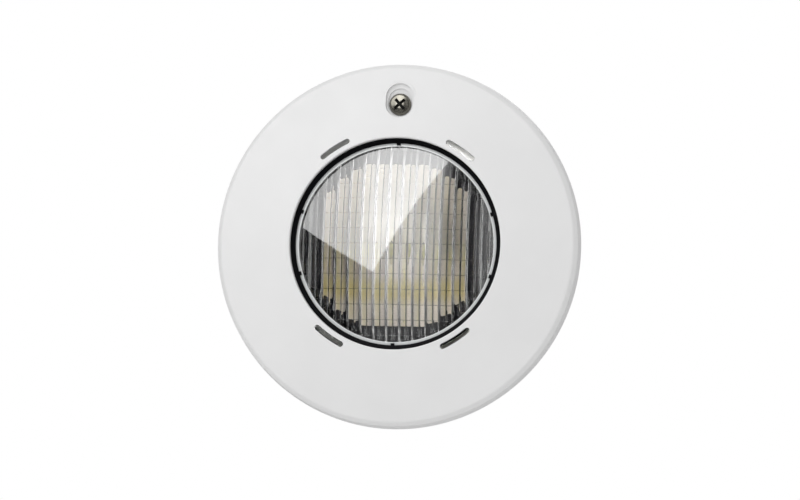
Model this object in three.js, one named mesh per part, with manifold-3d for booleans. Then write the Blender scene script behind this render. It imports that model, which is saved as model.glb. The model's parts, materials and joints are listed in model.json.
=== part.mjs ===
// A 12 V underwater pool light: a white face plate and sealed lamp unit that hooks into a wall niche.
//
// Millimetres, +Z up. The pool wall is the plane y = 0 and the light looks along -Y, so a smaller y is
// nearer to the swimmer. The origin is the centre of the round opening in the wall. Round parts are
// turned about the Y axis, which is LatheGeometry's own axis.

import * as THREE from "three";
import { mergeVertices } from "three/addons/utils/BufferGeometryUtils.js";
import Module from "manifold-3d";

const wasm = await Module();
wasm.setup();

// ---------------------------------------------------------------- driving dimensions

const GAP = 0.3; // between pieces that touch on the real light
const CLEARANCE = 0.35; // of a hole round its screw
const PAST = 1; // how far a cutting tool reaches beyond the face that it cuts
const BIG_ROUND = 48; // sides of the plate, niche and flanges
const MEDIUM_ROUND = 40; // sides of the lens, housing and reflector
const SMALL_ROUND = 18; // sides of glands and of the pilot screw
const SCREW_ROUND = 10; // sides of small screws
const HOLE_ROUND = 8; // sides of small holes

const plate = {
  radius: 150, // back edge of the lip, just clear of the wall
  lipBack: -1,
  faceRadius: 145, // where the face turns over into the lip
  faceEdge: -17, // y of the face at faceRadius
  slope: 0.155, // how much the face rises for each mm towards the centre
  wall: 3,
  openingRadius: 86.5,
  collarWall: 2.5, // of the collar behind the opening
  collarBack: -19.4,
};
const faceY = (r) => plate.faceEdge - (plate.faceRadius - r) * plate.slope;

const slots = { radius: 92.9, width: 4.6, halfArc: 7.2, back: -14 }; // water slots along a circle, degrees
const SLOT_ANGLES = [56, 124, 236, 304]; // 34 degrees either side of upright

const pilot = {
  height: 114.8, // of the screw's axis above the lamp's axis
  headRadius: 9,
  shankRadius: 3,
  top: -21,
  seat: -16, // floor of the pocket in the plate
  tip: -0.9,
};
const pilotCross = { length: 9.5, width: 2.2, depth: 2.8, angle: 40 };
const pocket = { radius: 11.5, rise: 5.6, wall: 2.2, back: -13.6 };
const pocketStep = { radius: 9.75, rise: 3.4, y: -17.6 };
const shankSlot = { radius: 3.8, rise: 3.4 };
const washer = { radius: 6.5, bore: 3.3, front: -6.9, back: -5.5 }; // keeps the screw with the plate
const insert = { radius: 5, bore: 3.45, front: -4.9, back: -0.5 }; // the brass thread in the niche
const insertBore = { radius: 5.3, mouthRadius: 7.5, mouthDepth: -5.2 }; // its hole, wider for the washer

const niche = {
  mouthRadius: 100, // inside the tube at its open end
  rearRadius: 94, // and at its rear end
  wall: 3,
  tubeEnd: 112,
  capFront: 112.3,
  capBack: 116.3,
  flangeRadius: 128,
  flangeFront: -7,
};
const waterStop = { y: 50, thickness: 4, radius: 109 }; // keeps water from creeping along the tube
const flangeGasket = { inside: 104, outside: 127, thickness: 1.6 };
const gasketFront = niche.flangeFront - GAP - flangeGasket.thickness;
const clampFlange = { innerRadius: 96.5, back: gasketFront - GAP, thickness: 4, chamfer: 1.2 };
const clampFront = clampFlange.back - clampFlange.thickness;
const PILOT_PASSAGE = 9; // radius of the way for the pilot screw through flange and gasket

const largeScrew = { shank: 2, head: 4, headHeight: 2.4 };
const ringScrew = { shank: 2, head: 3.8, headHeight: 2.4 };
const smallScrew = { shank: 1.5, head: 3, headHeight: 1.7 };
const clampScrews = { count: 8, circle: 119, firstAngle: 22.5, tip: -1.5 };
const ringScrews = { circle: 90.5, lugRadius: 4, tip: -22.6, angles: [18, 90, 162, 198, 270, 342] };

// A stainless strip bent into a channel, open at the top, that the plate's tongue hangs in.
const hook = { thickness: 1.2, width: 20, top: -110, screwX: 5.5, screwZ: -116, screwTip: -2 };
const channel = { front: -11.7, back: -3.5, floor: -142.3, fingerTop: -136.9 };
const tongue = { width: 16, front: -8.2, back: -6, tip: -140.2, webTop: -132, webBottom: -134.2 };

// The black ring that clamps the lens. Its sloping collar fills the plate's opening.
const ring = { innerRadius: 82.7, collarRadius: 86.1, outerRadius: 90, front: -19.1 };
const collar = { innerFront: -19.6, outerFront: -22.2 };
const ringBack = { lip: -16.9, skirt: 88.4, back: -12.3 };
const finger = { innerRadius: 81, width: 3 }; // one at each screw, over the lens's rim

const lens = {
  domeRadius: 80.2, // edge of the dome, inside the flat rim
  backRadius: 79,
  rimRadius: 88,
  rimFront: -16.6,
  rimBack: -12,
  curvature: 264,
  thickness: 3, // between two flutes
};
const flutes = { pitch: 10.7, radius: 7.2, steps: 4 }; // upright ribs on the lens's inner face
const lensGasket = { inside: 82, outside: 87.8 };

const housing = {
  flangeBack: -6.2,
  seat: -9.7, // the gasket's face
  seatRadius: 77,
  radius: 79.5,
  innerRadius: 75,
  shoulder: 36,
  coneRadius: 48, // where the cone behind the shoulder meets the flat back
  floor: 58,
  back: 61,
  bossRadius: 17,
  boss: 65,
  bore: 8.6,
};
const socketPost = { radius: 4.5, front: 55.8, holeFront: 50 };

const mask = { radius: 76.5, front: -9.6, back: -8.5 };
const maskWindow = { radius: 70, halfHeight: 66, halfWidth: 58 }; // a circle cut off straight on four sides
const bowl = { vertex: 41.8, focalLength: 25.2, radius: 71, holeRadius: 10, thickness: 1, flange: 76.3 };
const bowlY = (r) => bowl.vertex - (r * r) / (4 * bowl.focalLength);

const filament = { y: 18, coilRadius: 1, coilLength: 7, legRadius: 0.35, legEnd: 36 };
const capsuleBase = { width: 11, height: 4.5, front: 36.4, back: 44.9 };
const pin = { x: 3.175, radius: 0.5, front: 44, tip: 50.5 };
const socket = { radius: 9.5, front: 45.2, back: 54, holeRadius: 1, holeDepth: 51.5 };
const bracket = { width: 52, height: 14, front: 54.3, back: 55.5, screwX: 20, screwTip: 59.5 };
const terminals = { width: 22, front: 48.5, back: 57.7, bottom: -36, top: -24 };
const leadRadius = 1.1;
const leadRoute = [[3.2, 50, -10.2], [4.6, 51.5, -14.5], [5, 52.5, -19], [5, 53, -23.7]]; // x, y, z

// Two glands of one pattern: in the housing's rear boss, and in the niche's rear wall.
const cableGland = {
  bore: 5.2,
  thread: 8.2,
  front: 56.5,
  threadEnd: 77,
  sealBore: 4,
  capFront: 71,
  capBore: 4.7,
};
const cableHex = { radius: 13, front: 65.3, back: 70.5 };
const conduitGland = {
  height: 62, // of its axis above the lamp's axis
  bore: 6.5,
  thread: 10.2,
  front: 108.8,
  threadEnd: 131,
  sealBore: 4.5,
  capFront: 123.5,
  capBore: 5.8,
};
const conduitHole = 10.6;
const conduitFlange = { radius: 14, back: 112 };
const conduitNut = { radius: 15.5, front: 116.6, back: 121.8 };

// ---------------------------------------------------------------- geometry helpers

const degrees = THREE.MathUtils.degToRad;
const SIDES = [-1, 1];
const WELD = 1e-4;

// A closed mesh as a manifold-3d solid. Triangles that an end on the axis has collapsed are dropped.
function solid(geometry) {
  const loose = geometry.index ? geometry.toNonIndexed() : geometry;
  const bare = new THREE.BufferGeometry().setAttribute("position", loose.getAttribute("position"));
  const welded = mergeVertices(bare, WELD);
  const corners = [];
  for (let i = 0; i < welded.index.count; i += 3) {
    const [a, b, c] = welded.index.array.slice(i, i + 3);
    if (a !== b && b !== c && a !== c) corners.push(a, b, c);
  }
  const mesh = new wasm.Mesh({
    numProp: 3,
    vertProperties: welded.attributes.position.array,
    triVerts: new Uint32Array(corners),
  });
  return new wasm.Manifold(mesh);
}

const join = (first, ...others) => others.reduce((a, b) => a.add(b), first);
const cut = (first, ...others) => others.reduce((a, b) => a.subtract(b), first);

// A solid turned about the Y axis from [radius, y] points. The profile starts and ends on the axis, or
// closes on itself.
function turned(points, sides) {
  const onAxis = points[0][0] === 0;
  const area = points.reduce((sum, [r, y], i) => {
    const [nextR, nextY] = points[(i + 1) % points.length];
    return sum + r * nextY - nextR * y;
  }, 0);
  const profile = points.map(([r, y]) => new THREE.Vector2(r, y));
  if (area < 0) profile.reverse();
  if (!onAxis) profile.push(profile[0].clone());
  return solid(new THREE.LatheGeometry(profile, sides));
}

// A flat ring about the Y axis, from y = front to y = back.
function hoop(inside, outside, front, back, sides) {
  return turned([[inside, front], [outside, front], [outside, back], [inside, back]], sides);
}

// A round bar along Y, from y = front to y = back, centred on (x, z).
function bar(radius, front, back, x = 0, z = 0, sides = SCREW_ROUND) {
  const geometry = new THREE.CylinderGeometry(radius, radius, back - front, sides);
  geometry.translate(x, (front + back) / 2, z);
  return solid(geometry);
}

function block(x0, x1, y0, y1, z0, z1) {
  const geometry = new THREE.BoxGeometry(x1 - x0, y1 - y0, z1 - z0);
  geometry.translate((x0 + x1) / 2, (y0 + y1) / 2, (z0 + z1) / 2);
  return solid(geometry);
}

// A flat piece whose outline, drawn as the swimmer sees it, runs from y = front to y = back.
function flat(outline, front, back, curveSegments = 6) {
  const geometry = new THREE.ExtrudeGeometry(outline, {
    depth: back - front,
    bevelEnabled: false,
    curveSegments,
  });
  geometry.rotateX(Math.PI / 2);
  geometry.translate(0, back, 0);
  return solid(geometry);
}

// Two half circles of one radius joined by straight sides, from the pilot screw's axis up by rise.
function obround(radius, rise) {
  const outline = new THREE.Shape();
  outline.absarc(0, pilot.height + rise, radius, 0, Math.PI, false);
  outline.absarc(0, pilot.height, radius, Math.PI, 2 * Math.PI, false);
  return outline;
}

// A slot that follows a circle about the lamp's axis, with round ends.
function arcSlot({ radius, width, halfArc }, centreAngle) {
  const from = degrees(centreAngle - halfArc);
  const to = degrees(centreAngle + halfArc);
  const half = width / 2;
  const end = (angle) => [radius * Math.cos(angle), radius * Math.sin(angle), half];
  const outline = new THREE.Shape();
  outline.absarc(0, 0, radius + half, from, to, false);
  outline.absarc(...end(to), to, to + Math.PI, false);
  outline.absarc(0, 0, radius - half, to, from, true);
  outline.absarc(...end(from), from + Math.PI, from + 2 * Math.PI, false);
  return outline;
}

// A strip bent in the YZ plane from an outline of [y, z] points, width mm wide about x = 0.
function bentStrip(points, width) {
  const outline = new THREE.Shape(points.map(([y, z]) => new THREE.Vector2(y, z)));
  const geometry = new THREE.ExtrudeGeometry(outline, { depth: width, bevelEnabled: false });
  geometry.translate(0, 0, -width / 2);
  const [alongX, alongY, alongZ] = [0, 1, 2].map((i) => new THREE.Vector3().setComponent(i, 1));
  geometry.applyMatrix4(new THREE.Matrix4().makeBasis(alongY, alongZ, alongX));
  return solid(geometry);
}

// A round wire along a smooth curve through the points.
function wire(points, radius, steps, sides = 8) {
  const section = new THREE.Shape();
  for (let i = 0; i < sides; i++) {
    const angle = (2 * Math.PI * i) / sides;
    section[i ? "lineTo" : "moveTo"](radius * Math.cos(angle), radius * Math.sin(angle));
  }
  section.closePath();
  const route = new THREE.CatmullRomCurve3(points.map((p) => new THREE.Vector3(...p)));
  return solid(new THREE.ExtrudeGeometry(section, { steps, extrudePath: route }));
}

// [x, z] places on a circle about the lamp's axis.
const onCircle = (radius, angles) =>
  angles.map((a) => [radius * Math.cos(degrees(a)), radius * Math.sin(degrees(a))]);

// A pan-head screw. The flat underside of its head is at y = seat, and its point is at y = tip.
function panScrew({ shank, head, headHeight }, seat, tip, x, z) {
  const out = Math.sign(seat - tip);
  const profile = [
    [0, seat + out * headHeight],
    [head * 0.72, seat + out * headHeight],
    [head, seat + out * headHeight * 0.45],
    [head, seat],
    [shank, seat],
    [shank, tip + out * shank * 0.4],
    [shank * 0.6, tip],
    [0, tip],
  ];
  return turned(profile, SCREW_ROUND).translate([x, 0, z]);
}

// Holes for screws of one size at several places.
const screwHoles = (places, { shank }, front, back) =>
  places.map(([x, z]) => bar(shank + CLEARANCE, front, back, x, z, HOLE_ROUND));

// ---------------------------------------------------------------- materials and the group

function finish(color, roughness, metalness = 0) {
  return new THREE.MeshStandardMaterial({ color, roughness, metalness });
}

const materials = {
  whitePlastic: finish(0xdededc, 0.45),
  nichePlastic: finish(0xd8d8d4, 0.6),
  blackPlastic: finish(0x141415, 0.5),
  rubber: finish(0x0c0c0d, 0.85),
  clear: finish(0xe8f0ee, 0.05),
  steel: finish(0xb4b1a6, 0.3, 1),
  brass: finish(0xb8964a, 0.35, 1),
  mirror: finish(0xe6e2d6, 0.15, 1),
  ceramic: finish(0xe9e2cc, 0.7),
  tungsten: finish(0x6c6a66, 0.5, 1),
  nylon: finish(0xe2dfd2, 0.6),
  redInsulation: finish(0x9c2018, 0.5),
  blackInsulation: finish(0x18181a, 0.5),
};

const light = new THREE.Group();

function add(name, shape, material) {
  const { numProp, numVert, vertProperties, triVerts } = shape.getMesh();
  const places = new Float32Array(numVert * 3);
  for (let i = 0; i < numVert; i++) {
    const start = i * numProp;
    places.set(vertProperties.subarray(start, start + 3), i * 3);
  }
  const geometry = new THREE.BufferGeometry()
    .setAttribute("position", new THREE.BufferAttribute(places, 3))
    .setIndex(new THREE.BufferAttribute(triVerts, 1));
  geometry.computeVertexNormals();
  const mesh = new THREE.Mesh(geometry, material);
  mesh.name = name;
  light.add(mesh);
}

// ---------------------------------------------------------------- the niche

// The tube narrows a little towards the rear, so that it leaves its mould.
function nicheTube() {
  const { mouthRadius, rearRadius, wall, tubeEnd, flangeFront } = niche;
  const mouth = [[mouthRadius, flangeFront], [mouthRadius + wall, flangeFront]];
  const rear = [[rearRadius + wall, tubeEnd], [rearRadius, tubeEnd]];
  return turned([...mouth, ...rear], BIG_ROUND);
}

const clampStep = 360 / clampScrews.count;
const clampNumbers = Array.from({ length: clampScrews.count }, (_, i) => i);
const clampPlaces = onCircle(
  clampScrews.circle,
  clampNumbers.map((i) => clampScrews.firstAngle + clampStep * i),
);
const hookPlaces = SIDES.map((side) => [side * hook.screwX, hook.screwZ]);

// The screw holes that the niche's flange, the gasket and the clamping flange share.
function flangeHoles(front, back) {
  const large = screwHoles(clampPlaces, largeScrew, front, back);
  const small = screwHoles(hookPlaces, smallScrew, front, back);
  return [...large, ...small];
}

function nicheFlange() {
  const { mouthRadius, wall, flangeRadius, flangeFront } = niche;
  const front = flangeFront - PAST;
  const blindDepth = -1;
  return cut(
    hoop(mouthRadius + wall + GAP, flangeRadius, flangeFront, 0, BIG_ROUND),
    bar(insertBore.mouthRadius, front, insertBore.mouthDepth, 0, pilot.height, SMALL_ROUND),
    bar(insertBore.radius, front, PAST, 0, pilot.height, SMALL_ROUND),
    ...flangeHoles(front, blindDepth),
  );
}

function nicheEndCap() {
  const { rearRadius, wall, capFront, capBack } = niche;
  const edge = rearRadius + wall;
  const chamfer = 1.5;
  const disc = turned(
    [[0, capFront], [edge, capFront], [edge, capBack - chamfer], [edge - chamfer, capBack], [0, capBack]],
    BIG_ROUND,
  );
  const hole = bar(conduitHole, capFront - PAST, capBack + PAST, 0, conduitGland.height, SMALL_ROUND);
  return cut(disc, hole);
}

function waterStopRing() {
  const { mouthRadius, rearRadius, wall, tubeEnd, flangeFront } = niche;
  const along = (waterStop.y - flangeFront) / (tubeEnd - flangeFront);
  const tubeOutside = mouthRadius + wall - (mouthRadius - rearRadius) * along;
  return hoop(tubeOutside + GAP, waterStop.radius, waterStop.y, waterStop.y + waterStop.thickness, BIG_ROUND);
}

function nicheGasket() {
  const back = niche.flangeFront - GAP;
  const sheet = hoop(flangeGasket.inside, flangeGasket.outside, gasketFront, back, BIG_ROUND);
  const [front, behind] = [gasketFront - PAST, back + PAST];
  return cut(sheet, bar(PILOT_PASSAGE, front, behind, 0, pilot.height), ...flangeHoles(front, behind));
}

function clampingFlange() {
  const { innerRadius, back, chamfer } = clampFlange;
  const outside = niche.flangeRadius;
  const disc = turned(
    [
      [innerRadius, back],
      [innerRadius, clampFront + chamfer / 2],
      [innerRadius + chamfer / 2, clampFront],
      [outside - chamfer, clampFront],
      [outside, clampFront + chamfer],
      [outside, back],
    ],
    BIG_ROUND,
  );
  const [front, behind] = [clampFront - PAST, back + PAST];
  const passage = bar(PILOT_PASSAGE, front, behind, 0, pilot.height, SMALL_ROUND);
  return cut(disc, passage, ...flangeHoles(front, behind));
}

function pilotInsert() {
  const { radius, bore, front, back } = insert;
  const thread = bar(bore, front - PAST, back + PAST, 0, pilot.height);
  return cut(bar(radius, front, back, 0, pilot.height), thread);
}

add("niche_tube", nicheTube(), materials.nichePlastic);
add("niche_flange", nicheFlange(), materials.nichePlastic);
add("niche_end_cap", nicheEndCap(), materials.nichePlastic);
add("water_stop_ring", waterStopRing(), materials.nichePlastic);
add("flange_gasket", nicheGasket(), materials.rubber);
add("clamp_flange", clampingFlange(), materials.whitePlastic);
clampPlaces.forEach(([x, z], i) => {
  add(`clamp_screw_${i + 1}`, panScrew(largeScrew, clampFront - GAP, clampScrews.tip, x, z), materials.steel);
});
add("pilot_insert", pilotInsert(), materials.brass);

// ---------------------------------------------------------------- the hook at the bottom

function bottomHook() {
  const t = hook.thickness;
  const base = clampFront - GAP;
  const strapTop = -niche.flangeRadius - 0.4;
  const outline = [
    [base - t, hook.top],
    [base, hook.top],
    [base, strapTop],
    [channel.back + t, strapTop],
    [channel.back + t, channel.floor - t],
    [channel.front - t, channel.floor - t],
    [channel.front - t, channel.fingerTop],
    [channel.front, channel.fingerTop],
    [channel.front, channel.floor],
    [channel.back, channel.floor],
    [channel.back, strapTop - t],
    [base - t, strapTop - t],
  ];
  const holes = screwHoles(hookPlaces, smallScrew, base - t - PAST, base + PAST);
  return cut(bentStrip(outline, hook.width), ...holes);
}

add("bottom_hook", bottomHook(), materials.steel);
hookPlaces.forEach(([x, z], i) => {
  const seat = clampFront - GAP - hook.thickness - GAP;
  add(`hook_screw_${i + 1}`, panScrew(smallScrew, seat, hook.screwTip, x, z), materials.steel);
});

// ---------------------------------------------------------------- the two glands

const glandTube = ({ bore, thread, front, threadEnd }) => hoop(bore, thread, front, threadEnd, SMALL_ROUND);

// The seal and the cap share one taper, so that tightening the cap squeezes the seal.
const taper = { start: 2.2, length: 2.9 };

function glandSeal({ thread, threadEnd, sealBore }) {
  const front = threadEnd + 0.4;
  const outside = thread - 0.5;
  const end = threadEnd + taper.start + taper.length;
  return turned(
    [
      [sealBore, front],
      [outside, front],
      [outside, threadEnd + taper.start],
      [outside - taper.length, end],
      [sealBore, end],
    ],
    SMALL_ROUND,
  );
}

function glandCap({ thread, threadEnd, capFront, capBore }) {
  const inside = thread + 0.4;
  const outside = inside + 3.3;
  const end = threadEnd + 9;
  return turned(
    [
      [inside, capFront],
      [outside, capFront],
      [outside, threadEnd + 2.8],
      [inside, end],
      [capBore, end],
      [capBore, threadEnd + taper.start + inside - capBore],
      [inside, threadEnd + taper.start],
    ],
    SMALL_ROUND,
  );
}

const hexagon = ({ radius, front, back }) => bar(radius, front, back, 0, 0, 6);

const cableHexBore = (cableGland.bore + cableGland.thread) / 2;
const cableNut = cut(hexagon(cableHex), bar(cableHexBore, cableHex.front - PAST, cableHex.back + PAST));
add("cable_gland_body", join(glandTube(cableGland), cableNut), materials.blackPlastic);
add("cable_gland_seal", glandSeal(cableGland), materials.rubber);
add("cable_gland_cap", glandCap(cableGland), materials.blackPlastic);

function conduitBody() {
  const { bore, front } = conduitGland;
  const shoulder = hoop(bore, conduitFlange.radius, front, conduitFlange.back, SMALL_ROUND);
  return join(glandTube(conduitGland), shoulder);
}

function conduitLocknut() {
  const bore = bar(conduitHole, conduitNut.front - PAST, conduitNut.back + PAST, 0, 0, SMALL_ROUND);
  return cut(hexagon(conduitNut), bore);
}

const atConduit = (shape) => shape.translate([0, 0, conduitGland.height]);
add("conduit_gland_body", atConduit(conduitBody()), materials.blackPlastic);
add("conduit_gland_locknut", atConduit(conduitLocknut()), materials.blackPlastic);
add("conduit_gland_seal", atConduit(glandSeal(conduitGland)), materials.rubber);
add("conduit_gland_cap", atConduit(glandCap(conduitGland)), materials.blackPlastic);

// ---------------------------------------------------------------- the face plate

const ringPlaces = onCircle(ringScrews.circle, ringScrews.angles);
const lugs = (front, back) => ringPlaces.map(([x, z]) => bar(ringScrews.lugRadius, front, back, x, z));

// All of the space more than 1 mm behind the plate's front, to trim what is joined to the plate's back.
function behindFace() {
  const skin = 1;
  const edge = [plate.faceRadius, plate.faceEdge + skin];
  return turned([[0, faceY(0) + skin], edge, [plate.faceRadius, 0], [0, 0]], BIG_ROUND);
}

function plateShell() {
  const { radius, lipBack, faceRadius, faceEdge, wall, openingRadius, collarWall, collarBack } = plate;
  const collarOutside = openingRadius + collarWall;
  return turned(
    [
      [radius, lipBack],
      [radius - 1.7, faceEdge + 4],
      [radius - 2.6, faceEdge + 1.4],
      [faceRadius, faceEdge],
      [openingRadius + 3, faceY(openingRadius + 3)],
      [openingRadius + 0.9, faceY(openingRadius) + 0.9],
      [openingRadius, faceY(openingRadius) + 2.4],
      [openingRadius, collarBack],
      [collarOutside, collarBack],
      [collarOutside, faceY(collarOutside) + wall],
      [faceRadius - 0.6, faceEdge + wall - 0.1],
      [faceRadius + 0.4, faceEdge + wall + 1.4],
      [radius - wall, lipBack],
    ],
    BIG_ROUND,
  );
}

function facePlate() {
  const far = faceY(0);
  const half = tongue.width / 2;
  const cup = flat(obround(pocket.radius + pocket.wall, pocket.rise), far, pocket.back);
  const bosses = lugs(far, plate.collarBack);
  const web = block(-half, half, far, tongue.back, tongue.webBottom, tongue.webTop);
  const leg = block(-half, half, tongue.front, tongue.back, tongue.tip, tongue.webTop);
  const backDetails = join(cup, ...bosses, web).intersect(behindFace());
  return cut(
    join(plateShell(), backDetails, leg),
    ...SLOT_ANGLES.map((a) => flat(arcSlot(slots, a), far, slots.back)),
    flat(obround(pocket.radius, pocket.rise), far, pocketStep.y),
    flat(obround(pocketStep.radius, pocketStep.rise), far, pilot.seat),
    flat(obround(shankSlot.radius, shankSlot.rise), far, pocket.back + PAST),
    ...screwHoles(ringPlaces, ringScrew, ringScrews.tip - GAP, plate.collarBack + PAST),
  );
}

add("face_plate", facePlate(), materials.whitePlastic);

// ---------------------------------------------------------------- the lens and its clamping ring

// The dome is part of a ball whose centre lies on the lamp's axis, behind the light.
const ballCentre = lens.rimFront + Math.sqrt(lens.curvature ** 2 - lens.domeRadius ** 2);
const domeY = (r) => ballCentre - Math.sqrt(lens.curvature ** 2 - r * r);

// How far a flute stands out behind the lens at x. Each flute is part of a round bar.
function fluteHeight(x) {
  const { pitch, radius } = flutes;
  const across = x - pitch * Math.round(x / pitch);
  return Math.sqrt(radius ** 2 - across ** 2) - Math.sqrt(radius ** 2 - (pitch / 2) ** 2);
}

// The hollow behind the fluted lens. It is cut by a wheel that turns about an axis along X through the
// ball's centre, so that each flute bends with the dome.
function hollowOfLens() {
  const { backRadius, curvature, thickness, rimBack } = lens;
  const step = flutes.pitch / flutes.steps;
  const count = Math.floor(backRadius / step);
  const stations = Array.from({ length: 2 * count + 1 }, (_, i) => (i - count) * step);
  const across = [-backRadius, ...stations, backRadius];
  const rim = across.map((x) => [Math.sqrt(curvature ** 2 - x * x) - thickness - fluteHeight(x), x]);
  const wheelSides = 120;
  const wheel = turned([[0, -backRadius], ...rim, [0, backRadius]], wheelSides);
  const placed = wheel.rotate([0, 0, 90]).translate([0, ballCentre, 0]);
  return placed.intersect(bar(backRadius, domeY(0) + PAST, rimBack + PAST, 0, 0, MEDIUM_ROUND));
}

function flutedLens() {
  const { domeRadius, rimRadius, rimFront, rimBack } = lens;
  const front = [0, 0.2, 0.4, 0.6, 0.8, 1].map((share) => [share * domeRadius, domeY(share * domeRadius)]);
  const blank = turned([...front, [rimRadius, rimFront], [rimRadius, rimBack], [0, rimBack]], MEDIUM_ROUND);
  return cut(blank, hollowOfLens());
}

function lensClampRing() {
  const { innerRadius, collarRadius, outerRadius, front } = ring;
  const { lip, skirt, back } = ringBack;
  const body = turned(
    [
      [innerRadius, collar.innerFront],
      [collarRadius, collar.outerFront],
      [collarRadius, front],
      [outerRadius, front],
      [outerRadius, back],
      [skirt, back],
      [skirt, lip],
      [innerRadius, lip],
    ],
    BIG_ROUND,
  );
  const half = finger.width / 2;
  const bare = block(finger.innerRadius, innerRadius + PAST, front, lip, -half, half);
  const fingers = ringScrews.angles.map((a) => bare.rotate([0, -a, 0]));
  const keepClear = bar(skirt, lip, back + PAST, 0, 0, BIG_ROUND);
  const holes = screwHoles(ringPlaces, ringScrew, front - PAST, back + PAST);
  return cut(join(body, ...lugs(front, back), ...fingers), keepClear, ...holes);
}

function lensSeal() {
  return hoop(lensGasket.inside, lensGasket.outside, lens.rimBack + GAP, housing.seat - GAP, MEDIUM_ROUND);
}

add("lens", flutedLens(), materials.clear);
add("lens_clamp_ring", lensClampRing(), materials.blackPlastic);
add("lens_gasket", lensSeal(), materials.rubber);

// ---------------------------------------------------------------- the sealed lamp housing

// The front ring of the housing: the gasket's seat, a lip round the lens, and a lug for each screw.
function housingRim() {
  const { flangeBack, seat, seatRadius } = housing;
  const inside = lens.rimRadius + GAP;
  const front = lens.rimBack;
  const body = turned(
    [
      [inside, front],
      [ring.outerRadius, front],
      [ring.outerRadius, flangeBack],
      [seatRadius, flangeBack],
      [seatRadius, seat],
      [inside, seat],
    ],
    MEDIUM_ROUND,
  );
  const keepClear = bar(inside, front - PAST, seat, 0, 0, MEDIUM_ROUND);
  const holes = screwHoles(ringPlaces, ringScrew, front - PAST, flangeBack + PAST);
  return cut(join(body, ...lugs(front, flangeBack)), keepClear, ...holes);
}

function lampHousing() {
  const { flangeBack, radius, innerRadius, shoulder, coneRadius } = housing;
  const { floor, back, bossRadius, boss, bore } = housing;
  const front = flangeBack + GAP;
  const shell = turned(
    [
      [innerRadius, front],
      [radius, front],
      [radius, shoulder],
      [coneRadius, back],
      [bossRadius, back],
      [bossRadius, boss],
      [bore, boss],
      [bore, floor],
      [coneRadius - 2, floor],
      [innerRadius, shoulder - 1.5],
    ],
    MEDIUM_ROUND,
  );
  const places = SIDES.map((side) => [side * bracket.screwX, 0]);
  const posts = places.map(([x, z]) => bar(socketPost.radius, socketPost.front, floor + PAST, x, z));
  const holes = screwHoles(places, smallScrew, socketPost.holeFront, bracket.screwTip + 0.5);
  return cut(join(shell, ...posts), ...holes);
}

// The black plate in front of the reflector.
function shadeBezel() {
  const outline = new THREE.Shape();
  outline.absarc(0, 0, mask.radius, 0, 2 * Math.PI, false);
  const { radius, halfHeight, halfWidth } = maskWindow;
  const low = Math.acos(halfWidth / radius);
  const high = Math.asin(halfHeight / radius);
  const window = new THREE.Path();
  window.absarc(0, 0, radius, low, high, false);
  window.absarc(0, 0, radius, Math.PI - high, Math.PI - low, false);
  window.absarc(0, 0, radius, Math.PI + low, Math.PI + high, false);
  window.absarc(0, 0, radius, -high, -low, false);
  outline.holes.push(window);
  return flat(outline, mask.front, mask.back, 24);
}

// A parabolic bowl with a flat flange. Its back is set off so that the wall is 1 mm thick all over.
function reflectorBowl() {
  const { radius, holeRadius, thickness, flange } = bowl;
  const shares = [0, 0.2, 0.43, 0.66, 0.85, 1];
  const radii = shares.map((share) => holeRadius + share * (radius - holeRadius));
  const inside = radii.map((r) => [r, bowlY(r)]);
  const outside = radii.map((r) => [r + 0.5 * (r / radius), bowlY(r) + thickness + 0.4 * (r / radius)]);
  const rim = [[flange, bowlY(radius)], [flange, bowlY(radius) + thickness]];
  return turned([...inside, ...rim, ...outside.reverse()], MEDIUM_ROUND);
}

add("housing_rim", housingRim(), materials.blackPlastic);
add("lamp_housing", lampHousing(), materials.blackPlastic);
add("shade_bezel", shadeBezel(), materials.blackPlastic);
add("reflector", reflectorBowl(), materials.mirror);
ringPlaces.forEach(([x, z], i) => {
  const screw = panScrew(ringScrew, housing.flangeBack + GAP, ringScrews.tip, x, z);
  add(`ring_screw_${i + 1}`, screw, materials.steel);
});

// ---------------------------------------------------------------- the halogen capsule and its wiring

// A quartz tube, closed at the front and open at the back where its base fits.
function capsuleEnvelope() {
  const outside = [[0, 10], [3.5, 10.8], [5.5, 13], [6, 16], [6, 36]];
  const inside = [[4.9, 36], [4.9, 16], [4.4, 13.6], [2.8, 12], [0, 11.2]];
  return turned([...outside, ...inside], 16);
}

function capsuleFilament() {
  const { y, coilRadius, coilLength, legRadius, legEnd } = filament;
  const coil = new THREE.CylinderGeometry(coilRadius, coilRadius, coilLength, SCREW_ROUND);
  coil.rotateZ(Math.PI / 2).translate(0, y, 0);
  const legs = SIDES.map((side) => bar(legRadius, y, legEnd, side * pin.x, 0, 6));
  return join(solid(coil), ...legs);
}

function baseWithPins() {
  const { width, height, front, back } = capsuleBase;
  const pins = SIDES.map((side) => bar(pin.radius, pin.front, pin.tip, side * pin.x, 0, HOLE_ROUND));
  return join(block(-width / 2, width / 2, front, back, -height / 2, height / 2), ...pins);
}

function lampSocket() {
  const { radius, front, back, holeRadius, holeDepth } = socket;
  const holes = SIDES.map((side) => bar(holeRadius, front - PAST, holeDepth, side * pin.x, 0, HOLE_ROUND));
  return cut(bar(radius, front, back, 0, 0, SMALL_ROUND), ...holes);
}

function socketBracket() {
  const { width, height, front, back, screwX } = bracket;
  const places = SIDES.map((side) => [side * screwX, 0]);
  const strip = block(-width / 2, width / 2, front, back, -height / 2, height / 2);
  return cut(strip, ...screwHoles(places, smallScrew, front - PAST, back + PAST));
}

function terminalBlock() {
  const { width, front, back, bottom, top } = terminals;
  return block(-width / 2, width / 2, front, back, bottom, top);
}

function lead(side) {
  const route = leadRoute.map(([x, y, z]) => [side * x, y, z]);
  return wire(route, leadRadius, 8);
}

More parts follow.
